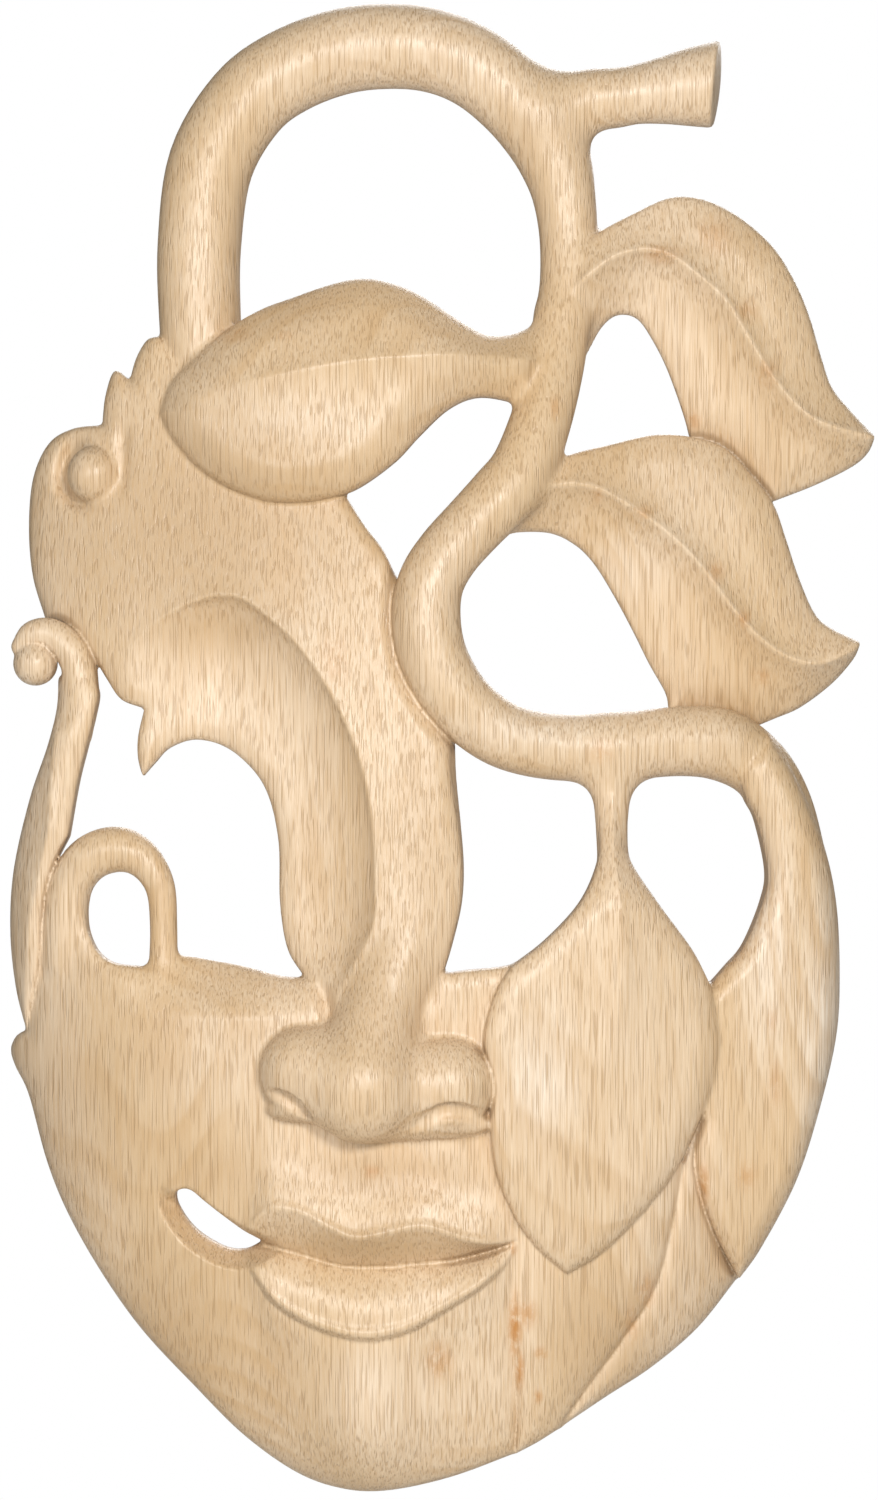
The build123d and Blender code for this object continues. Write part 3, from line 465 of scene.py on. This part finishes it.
# upper left leaf, which sinks towards the stem and has a crease along its middle
LEFT_CREST = [(44, 361), (30, 364), (15, 365), (0, 364.5), (-20, 363), (-38, 360), (-60, 355), (-78, 349)]
left_base = DOME + 9.5 - 14 * bump(U - 46, 30)
left_rise = ridge(LEFT_CREST, 6, 15)[0] * step(U, -82, -30)
leaves.relief(closed_outline([(-83.5, 347), (-80, 356.5), (-73, 363.5), (-62, 373.5), (-51, 380), (-40, 384),
                              (-30, 387.5), (-20, 389.7), (-11, 388.8), (0, 384.5), (14, 375.5), (23, 371.5),
                              (34, 374), (46, 384)],
                             [(46, 384), (40, 346)],
                             [(40, 346), (28, 350.5), (18, 351.5), (9, 347.5), (0, 339), (-8, 330.5),
                              (-20, 322), (-30, 319), (-40, 317.7), (-50, 318.6), (-62, 323), (-72, 330),
                              (-80, 339.5), (-83.5, 347)]),
              left_base + left_rise, left_base - LEAF_DEPTH * (1 - 0.7 * step(U, 22, 40)),
              roll=7, roll_width=13)


def hanging_leaf(base, crest):
    """Front of a leaf that turns over along its crest: a ridge, with a hollow below it."""
    rise, distance, side = ridge(crest, 4.5, 5)
    return base + rise - 7 * (side > 0) * (1 - np.exp(-(distance / 9) ** 1.5))


# upper right leaf
RIGHT_CREST = [(40, 380), (48, 386), (55, 392), (63, 397.5), (72, 399.5), (80, 398), (88, 392.5),
               (98, 383.5), (107, 369), (114, 358), (122, 349), (131, 343.5), (150, 339)]
right_base = 39 - 0.17 * (U - 50)
leaves.relief(closed_outline([(50, 399), (58, 405.5), (68, 411), (80, 416.5), (90, 416.5), (100, 412.5),
                              (109, 406), (116, 398.5), (122, 388), (126, 378), (129.5, 366), (133, 356),
                              (139, 348.5), (147, 340)],
                             [(147, 340), (145, 335), (140, 330.5), (128, 324.5), (114, 319)],
                             [(114, 319), (105, 329), (96, 337), (87, 339.5)],
                             [(87, 339.5), (85, 347), (80, 361), (75, 371), (70, 377.8), (64, 379),
                              (59, 375.5), (55, 368), (51, 355)],
                             [(51, 355), (50, 399)]),
              hanging_leaf(right_base, RIGHT_CREST),
              right_base - LEAF_DEPTH * (0.5 + 0.5 * step(U, 46, 60)), roll=4, roll_width=12)

# middle right leaf
MIDDLE_CREST = [(20, 312), (30, 319.5), (38, 322.5), (48, 324), (57, 322.5), (68, 316.5), (80, 308),
                (90, 298), (100, 285), (109, 275), (119, 268.5), (130, 267), (146, 274)]
middle_base = 49 - 0.245 * (U - 38)
leaves.relief(closed_outline([(34, 326), (47, 333), (60, 336.5), (75, 340), (87, 339.5), (98, 336),
                              (107, 327), (114, 318), (118, 307), (122, 295), (127, 283.5), (132, 278.5),
                              (142.3, 273.5)],
                             [(142.3, 273.5), (140, 268), (133, 260), (123, 252.5), (115, 249), (109, 246.5)],
                             [(109, 246.5), (103, 249), (90, 250), (80, 251)],
                             [(80, 251), (79, 257), (74, 266), (68, 278), (62, 289), (56, 298.5), (50, 304.5),
                              (42, 308.3), (32, 308.3), (24, 306)], [(24, 306), (26, 318), (34, 326)]),
              hanging_leaf(middle_base, MIDDLE_CREST),
              middle_base - LEAF_DEPTH * (0.6 + 0.4 * step(U, 24, 44)), roll=4, roll_width=12)

# ---- bring the forms together, then hollow the back ---------------------------------------------
everything = window((-200, -50, -50), (200, 600, 200))
wood.join(everything, face.field, 1.2)
vines.join(everything, leaves.field, 3.0)
wood.join(everything, vines.field, 1.2)
wood.carve(everything, level_distance(HOLLOW, everything[:2], W), 3.0)
slot_box = window((-90, 70, -5), (-42, 105, 88))
slot = np.broadcast_to(slot_distance[slot_box[:2]][:, :, None], wood.field[slot_box].shape)
wood.carve(slot_box, slot, 1.5)

# flat pared on the back for the hanger's strap
FLAT_WIDTH = 18.0
FLAT_W = 13.5                                   # the flat's distance from the wall
strap_low, strap_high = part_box("hanger_strap")
strap_u = ((strap_low.x + strap_high.x) / 2 - ORIGIN_X) / MM
flat_box = window((strap_u - 14, 440, -5), (strap_u + 14, 486, 30))
beside_flat = np.abs(U[flat_box[:2]][:, :, None] - strap_u) - FLAT_WIDTH / 2
wood.carve(flat_box, np.maximum(beside_flat, W[:, :, flat_box[2]] - FLAT_W), 0.8)

# nothing reaches behind the wall
wood.carve(everything, W + 0 * U[:, :, None], 1.5)

# ---- mesh ---------------------------------------------------------------------------------------
FACES = 190_000                                 # triangles kept in the finished mesh
BAND = 3 * CELL                                 # depth of the field that is meshed, on both sides
field = np.clip(wood.field, -BAND, BAND)
grid = openvdb.FloatGrid(BAND)
grid.copyFromArray(field)
points, _, quads = grid.convertToPolygons(isovalue=0.0, adaptivity=0.0)
drawn = points * CELL + (grid_u[0], grid_v[0], grid_w[0])
placed = np.column_stack([ORIGIN_X + drawn[:, 0] * MM, -drawn[:, 2] * MM, ORIGIN_Z + drawn[:, 1] * MM])
mesh = bpy.data.meshes.new("mask_carving")
mesh.from_pydata(placed.tolist(), [], quads.tolist())
carving = bpy.data.objects.new("mask_carving", mesh)
bpy.context.scene.collection.objects.link(carving)

# thin the mesh out, and keep the thinned one
thin = carving.modifiers.new("thin_out", "DECIMATE")
thin.ratio = min(1.0, FACES / (2 * len(quads)))
bpy.context.view_layer.update()
mesh = bpy.data.meshes.new_from_object(carving.evaluated_get(bpy.context.evaluated_depsgraph_get()))
carving.modifiers.clear()
carving.data = mesh
mesh.name = "mask_carving"
mesh.shade_smooth()


def field_at(p, values):
    """A field's values at grid coordinates p, between its grid points."""
    whole = np.clip(np.floor(p).astype(int), 0, np.array(values.shape) - 2)
    part = p - whole
    total = 0
    for corner in np.ndindex(2, 2, 2):
        share = np.abs(1 - np.array(corner) - part)
        at = whole + corner
        total = total + share[:, 0] * share[:, 1] * share[:, 2] * values[at[:, 0], at[:, 1], at[:, 2]]
    return total


# shade with the field's own slope, which is smoother than the thinned faces
PROBE = 0.6                                     # cells, how far each way the slope is taken
co = np.empty(len(mesh.vertices) * 3, np.float32)
mesh.vertices.foreach_get("co", co)
co = co.reshape(-1, 3).astype(float)
here = np.column_stack([(co[:, 0] - ORIGIN_X) / MM - grid_u[0], (co[:, 2] - ORIGIN_Z) / MM - grid_v[0],
                        -co[:, 1] / MM - grid_w[0]]) / CELL
slope = np.column_stack([field_at(here + PROBE * e, field) - field_at(here - PROBE * e, field)
                         for e in np.eye(3)])
slope /= np.maximum(np.linalg.norm(slope, axis=1), 1e-6)[:, None]
normals = np.column_stack([slope[:, 0], -slope[:, 2], slope[:, 1]])
mesh.normals_split_custom_set_from_vertices(normals.tolist())


def keep_values(name, values):
    """Keep a value from 0 to 1 for each vertex, for the wood material to read."""
    attribute = mesh.attributes.new(name, "FLOAT", "POINT")
    attribute.data.foreach_set("value", np.clip(values, 0, 1).astype(np.float32))


REACH = 3.5                                     # mm, how far off the surface creases and edges are felt
# crease: how hemmed in the surface is, read by the wood for dust and painted shade
keep_values("crease", 1 - field_at(here + slope * REACH / CELL, wood.field) / REACH)
# edge: how sharply the surface turns out, read by the wood for edge wear and painted highlight
keep_values("edge", 1 + field_at(here - slope * REACH / CELL, wood.field) / REACH)

WOOD_NODES = ["forehead_and_nose", "lower_face", "cheek_leaf", "inner_jaw_leaf", "outer_jaw_leaf",
              "right_vine_leaf", "side_vine", "eye_loop", "s_vine", "stem", "crown_vine", "cut_branch",
              "upper_left_leaf", "upper_right_leaf", "middle_right_leaf"]
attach(carving, "mask")
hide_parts(*WOOD_NODES)


# ---- materials ----------------------------------------------------------------------------------
class Nodes:
    """Builds a material's node tree with short calls."""

    def __init__(self, name):
        self.material = bpy.data.materials.new(name)
        self.material.use_nodes = True
        self.tree = self.material.node_tree
        self.shader = self.tree.nodes["Principled BSDF"]

    def add(self, kind, inputs=(), **settings):
        """A new node with these settings and inputs."""
        node = self.tree.nodes.new(kind)
        for name, value in settings.items():
            setattr(node, name, value)
        for name, value in dict(inputs).items():
            self.put(node.inputs[name], value)
        return node

    def put(self, socket, value):
        """Link another node's output to the socket, or set the socket to a plain value."""
        if isinstance(value, bpy.types.NodeSocket):
            self.tree.links.new(value, socket)
        else:
            socket.default_value = value

    def math(self, operation, *values):
        """Result of a maths operation on numbers or other nodes' outputs."""
        node = self.add("ShaderNodeMath", enumerate(values), operation=operation)
        return node.outputs[0]

    def mix(self, factor, first, second):
        """The first colour, going over to the second as the factor goes from 0 to 1."""
        node = self.add("ShaderNodeMix", {0: factor, 6: first, 7: second}, data_type="RGBA")
        return node.outputs[2]

    def stretched(self, vector, scale, location=(0, 0, 0), rotation=(0, 0, 0)):
        """Coordinates scaled, turned and moved."""
        node = self.add("ShaderNodeMapping", {"Vector": vector, "Scale": scale, "Location": location,
                                              "Rotation": rotation})
        return node.outputs[0]

    def noise(self, vector, scale, detail, roughness=0.5):
        """Soft noise from 0 to 1."""
        node = self.add("ShaderNodeTexNoise", {"Vector": vector, "Scale": scale, "Detail": detail,
                                               "Roughness": roughness})
        return node.outputs["Fac"]

    def spots(self, at, places):
        """Soft round patches at (u, v, half width, half height, strength) places on the mask."""
        total = 0.0
        for u, v, half_width, half_height, strength in places:
            size = (1 / (half_width * MM), 0.0, 1 / (half_height * MM))
            place = (-(ORIGIN_X + u * MM) * size[0], 0, -(ORIGIN_Z + v * MM) * size[2])
            spot = self.stretched(at, size, place)
            distance = self.add("ShaderNodeVectorMath", {0: spot}, operation="LENGTH").outputs["Value"]
            total = self.math("MAXIMUM", total, self.ramp(distance, SPOT_REACH, 0.0, 0.0, strength))
        return total

    def ramp(self, value, low, high, out_low=0.0, out_high=1.0):
        """A value that goes smoothly from out_low at low to out_high at high."""
        node = self.add("ShaderNodeMapRange", {"Value": value, "From Min": low, "From Max": high,
                                               "To Min": out_low, "To Max": out_high},
                        interpolation_type="SMOOTHSTEP")
        return node.outputs[0]


def colour(red, green, blue):
    """Linear colour of an sRGB colour given in 0 to 255."""
    def linear(c):
        """One channel's linear value."""
        c /= 255
        return c / 12.92 if c <= 0.04045 else ((c + 0.055) / 1.055) ** 2.4
    return (linear(red), linear(green), linear(blue), 1)


SPOT_REACH = 1.2                                # half widths, where a patch has faded out
# colour of the painted sheen, a stand-in for highlights on the satin finish
PAINTED_SHEEN_COLOUR = colour(243, 228, 208)
PALE = colour(233, 211, 183)
TAN = colour(216, 188, 150)
DARK_TAN = colour(197, 168, 131)
PORE = colour(172, 137, 96)
STAIN = colour(188, 126, 54)
LATE_WOOD = colour(198, 162, 116)
# colour of the dust and painted shade in creases
DUST_AND_SHADE = colour(150, 119, 84)
# soft patches of a colour: u, v, half width, half height in mm, and strength
# darker patches: partly darker wood, partly painted shade under the nose, on the upper lip, beside the nose,
# along the bridge and below the brow
DARKER_WOOD_AND_SHADE = [(-60, 310, 75, 50, 1.0), (-15, 285, 25, 50, 0.4), (-115, 115, 30, 60, 0.4),
               (-85, 45, 40, 40, 0.8), (-15, 80, 45, 9, 1.0), (100, 70, 35, 35, 0.4),
               (-35, 380, 50, 14, 0.5), (-12, 103, 40, 11, 1.0), (60, 50, 25, 30, 0.9),
               (-65, 278, 40, 14, 0.8), (-45, 130, 16, 16, 0.4), (-60, 140, 40, 40, 0.3),
               (-10, 165, 28, 55, 0.5), (0, 212, 14, 44, 0.6), (80, 330, 40, 20, 0.4),
               (98, 402, 30, 12, 0.4), (-62, 105, 30, 14, 0.5), (-48, 40, 16, 26, 0.6),
               (38, 440, 14, 20, 0.4)]
# paler patches: a painted sheen where highlights fall on the satin finish
PAINTED_SHEEN = [(38, 135, 16, 30, 0.85), (112, 175, 14, 60, 0.8), (131, 150, 15, 65, 1.0),
              (-16, 32, 16, 26, 0.45), (-35, 343, 36, 10, 0.25), (35, 245, 34, 10, 0.6),
              (-70, 135, 30, 20, 0.25), (68, 298, 16, 14, 0.4)]
RINGED_WOOD = [(-25, 374, 50, 13, 0.6), (-100, 105, 30, 45, 0.4), (-60, 152, 35, 15, 0.4),
               (-15, 300, 25, 25, 0.4)]
STAINS = [(30.5, 54, 3, 14, 0.9), (32, 40, 2, 9, 0.8), (34, 58, 5, 6, 0.6), (6, 43, 6, 8, 0.5),
          (38.7, 45, 3, 3, 0.6), (38, 31, 2, 3, 0.6), (-15, 104, 4, 3, 0.4), (29.8, 79.5, 1.8, 3, 0.7),
          (73, 65, 4, 7, 0.5), (68, 54, 3, 9, 0.4), (91, 99, 2.5, 9, 0.7), (105, 102, 5, 6, 0.4),
          (114, 131, 3, 10, 0.35), (113, 152, 2.5, 6, 0.3), (101, 176, 4, 7, 0.5),
          (109, 198, 3, 10, 0.45), (112, 360, 4, 6, 0.4), (88, 345, 4, 4, 0.5), (43, 348, 2, 5, 0.5),
          (78, 398, 8, 4, 0.45), (95, 404, 7, 8, 0.35), (105, 380, 5, 5, 0.35), (72, 315, 3, 3, 0.4),
          (57, 320, 3, 3, 0.3), (95, 296, 4, 5, 0.4), (104, 281, 3, 4, 0.5), (110, 262, 4, 4, 0.4),
          (-43, 371, 3, 2, 0.4), (58, 238, 5, 5, 0.35), (-27, 268, 6, 12, 0.3), (-60, 372, 8, 4, 0.3)]

GRAIN_LEAN = -0.2                               # radians, about X
PITH_X, PITH_Y = -0.03, 0.1                     # where the tree's pith stood, behind the mask
PITH_SPREAD = 0.06                              # ring radius gained per metre of height
RING_WANDER = 0.05
RINGS_PER_METRE = 240.0
STAIN_BACK_Y = -0.012                           # stains are on the wood ahead of this plane only


def wood_material():
    """Pale, open-pored wood with growth rings, fibres, patches and stains, a painted sheen and painted shade
    in patches, edges paler with wear and painted highlight, and creases darkened with dust and painted shade.
    """
    n = Nodes("hibiscus_wood")
    at = n.add("ShaderNodeTexCoord").outputs["Object"]
    xyz = n.add("ShaderNodeSeparateXYZ", {"Vector": at})
    crease = n.add("ShaderNodeAttribute", attribute_name="crease").outputs["Fac"]
    edge = n.add("ShaderNodeAttribute", attribute_name="edge").outputs["Fac"]

    # the grain leans; growth rings run about an upright pith well behind the mask
    grain = n.stretched(at, (1, 1, 1), rotation=(GRAIN_LEAN, 0, 0))
    wander = n.noise(n.stretched(grain, (1, 1, 0.35)), 9.0, 2.0)
    x = n.math("SUBTRACT", xyz.outputs[0], PITH_X)
    y = n.math("SUBTRACT", xyz.outputs[1], PITH_Y)
    radius = n.math("SQRT", n.math("ADD", n.math("MULTIPLY", x, x), n.math("MULTIPLY", y, y)))
    radius = n.math("ADD", radius, n.math("MULTIPLY", wander, RING_WANDER))
    radius = n.math("ADD", radius, n.math("MULTIPLY", xyz.outputs[2], PITH_SPREAD))
    phase = n.math("FRACT", n.math("MULTIPLY", radius, RINGS_PER_METRE))
    late_wood = n.math("MULTIPLY", n.ramp(phase, 0.2, 0.8), n.ramp(phase, 1.0, 0.82))
    patches = n.ramp(n.noise(n.stretched(at, (1, 1, 0.6)), 20.0, 2.0), 0.45, 0.7)
    broad = n.ramp(n.noise(n.stretched(at, (1, 1, 0.3)), 16.0, 3.0), 0.3, 0.7)

    # fibres and open pores run upright, so they are dashes on upright faces and dots on level ones
    streaks = n.noise(n.stretched(grain, (1300, 340, 12)), 1.0, 3.0, 0.65)
    fibres = n.noise(n.stretched(grain, (3000, 700, 36)), 1.0, 2.0, 0.6)
    pores = n.ramp(n.noise(n.stretched(grain, (2600, 700, 64)), 1.0, 0.0), 0.58, 0.74)

    # darker patches, partly darker wood and partly painted shade
    base = n.mix(n.spots(at, DARKER_WOOD_AND_SHADE), n.mix(broad, TAN, PALE), DARK_TAN)
    # painted sheen on the paler patches
    base = n.mix(n.spots(at, PAINTED_SHEEN), base, PAINTED_SHEEN_COLOUR)
    ringed = n.math("MAXIMUM", n.math("MULTIPLY", patches, 0.5), n.spots(at, RINGED_WOOD))
    base = n.mix(n.math("MULTIPLY", late_wood, ringed), base, LATE_WOOD)
    base = n.mix(n.ramp(streaks, 0.35, 0.75, 0.0, 0.45), base, LATE_WOOD)
    base = n.mix(n.ramp(fibres, 0.4, 0.72, 0.0, 0.5), base, LATE_WOOD)
    base = n.mix(n.math("MULTIPLY", pores, 0.5), base, PORE)
    # convex edges painted paler: edge wear and painted highlight
    base = n.mix(n.ramp(edge, 0.25, 0.8, 0.0, 0.35), base, PALE)

    # orange stains, and a little dust and painted shade held in the creases
    freckle = n.ramp(n.noise(n.stretched(at, (1, 1, 0.5)), 420.0, 4.0, 0.7), 0.28, 0.6)
    front = n.math("GREATER_THAN", STAIN_BACK_Y, xyz.outputs[1])
    stain = n.math("MULTIPLY", n.math("MULTIPLY", n.spots(at, STAINS), freckle), front)
    base = n.mix(stain, base, STAIN)
    base = n.mix(n.ramp(crease, 0.4, 1.0, 0.0, 0.55), base, DUST_AND_SHADE)
    n.put(n.shader.inputs["Base Color"], base)

    # a satin finish that lets the fibres and pores be felt
    n.put(n.shader.inputs["Roughness"], n.ramp(fibres, 0.25, 0.75, 0.3, 0.46))
    n.put(n.shader.inputs["Specular IOR Level"], 0.5)
    relief = n.math("SUBTRACT", n.math("MULTIPLY", n.math("ADD", fibres, streaks), 0.6), pores)
    bumps = n.add("ShaderNodeBump", {"Height": relief, "Strength": 0.55, "Distance": 0.00025})
    n.put(n.shader.inputs["Normal"], bumps.outputs[0])
    return n.material


def metal_material(name, tint, roughness):
    """Plated metal, a little duller in places."""
    n = Nodes(name)
    dull_tint = [c * 0.82 for c in tint[:3]] + [1]
    at = n.add("ShaderNodeTexCoord").outputs["Object"]
    grain = n.noise(at, 2500.0, 3.0)
    dull = n.noise(at, 300.0, 2.0)
    n.put(n.shader.inputs["Base Color"], n.mix(n.ramp(dull, 0.3, 0.7), tint, dull_tint))
    n.put(n.shader.inputs["Metallic"], 1.0)
    n.put(n.shader.inputs["Roughness"], n.ramp(grain, 0.3, 0.7, roughness, roughness + 0.15))
    bumps = n.add("ShaderNodeBump", {"Height": grain, "Strength": 0.1, "Distance": 0.0001})
    n.put(n.shader.inputs["Normal"], bumps.outputs[0])
    return n.material


def paint(obj, material):
    """Give an object this one material."""
    obj.data.materials.clear()
    obj.data.materials.append(material)


paint(carving, wood_material())
zinc = metal_material("zinc_plated_steel", colour(196, 198, 202), 0.32)
brass = metal_material("brassed_steel", colour(205, 172, 104), 0.3)
for node in ("hanger_strap", "hanger_ring"):
    paint(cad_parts[node], zinc)
paint(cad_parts["hanger_screw"], brass)

# ---- floor, light and camera --------------------------------------------------------------------
FLOOR_Z = -0.60
FLOOR_RADIUS = 1.3
FLOOR_SIDES = 96
angles = np.linspace(0, 2 * math.pi, FLOOR_SIDES, endpoint=False)
rim = [(FLOOR_RADIUS * math.cos(a), FLOOR_RADIUS * math.sin(a), FLOOR_Z) for a in angles]
floor_mesh = bpy.data.meshes.new("floor")
floor_mesh.from_pydata(rim, [], [range(FLOOR_SIDES)])
floor = bpy.data.objects.new("floor", floor_mesh)
bpy.context.scene.collection.objects.link(floor)
pale = Nodes("pale_floor")
speckle = pale.noise(pale.add("ShaderNodeTexCoord").outputs["Object"], 40.0, 4.0)
pale.put(pale.shader.inputs["Base Color"], pale.mix(speckle, (0.82, 0.82, 0.81, 1), (0.86, 0.86, 0.85, 1)))
pale.put(pale.shader.inputs["Roughness"], 0.8)
floor_mesh.materials.append(pale.material)
floor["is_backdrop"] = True

low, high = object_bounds()
middle = (low + high) / 2


def soft_light(name, place, size, watts):
    """A square area light that points at the middle of the mask."""
    lamp = bpy.data.lights.new(name, "AREA")
    lamp.size = size
    lamp.energy = watts
    obj = bpy.data.objects.new(name, lamp)
    obj.location = place
    obj.rotation_euler = (middle - Vector(place)).to_track_quat("-Z", "Y").to_euler()
    bpy.context.scene.collection.objects.link(obj)


soft_light("key", (0.5, -2.5, 0.4), size=0.5, watts=41)
soft_light("fill", (-0.75, -2.4, 0.0), size=0.7, watts=27)
soft_light("back", (0.4, 1.8, 0.8), size=1.4, watts=24)

# the camera sees a white world, which lights the mask only faintly
WORLD_SEEN = 1.0
WORLD_LIGHT = 0.12
world = bpy.data.worlds.new("studio")
world.use_nodes = True
bpy.context.scene.world = world
tree = world.node_tree
seen = tree.nodes["Background"]
seen.inputs["Color"].default_value = (1, 1, 1, 1)
seen.inputs["Strength"].default_value = WORLD_SEEN
lit = tree.nodes.new("ShaderNodeBackground")
lit.inputs["Color"].default_value = (1.0, 0.99, 0.97, 1)
lit.inputs["Strength"].default_value = WORLD_LIGHT
choose = tree.nodes.new("ShaderNodeMixShader")
path = tree.nodes.new("ShaderNodeLightPath")
tree.links.new(path.outputs["Is Camera Ray"], choose.inputs[0])
tree.links.new(lit.outputs[0], choose.inputs[1])
tree.links.new(seen.outputs[0], choose.inputs[2])
tree.links.new(choose.outputs[0], tree.nodes["World Output"].inputs["Surface"])
bpy.context.scene.view_settings.view_transform = "Standard"

VIEW_DISTANCE = 3.0                             # from the camera to VIEW_Y
VIEW_Y = -0.024                                 # plane near the mask's silhouette
VIEW_HEIGHT = 0.4839                            # of the whole frame, at VIEW_Y
VIEW_U, VIEW_V = 6.1, 238.7                     # the mask's point at the middle of the frame
camera_data = bpy.data.cameras.new("camera")
camera_data.lens = camera_data.sensor_width * VIEW_DISTANCE / VIEW_HEIGHT
camera = bpy.data.objects.new("camera", camera_data)
camera.location = (ORIGIN_X + VIEW_U * MM, VIEW_Y - VIEW_DISTANCE, ORIGIN_Z + VIEW_V * MM)
camera.rotation_euler = (math.pi / 2, 0, 0)
bpy.context.scene.collection.objects.link(camera)
bpy.context.scene.camera = camera

low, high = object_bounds()
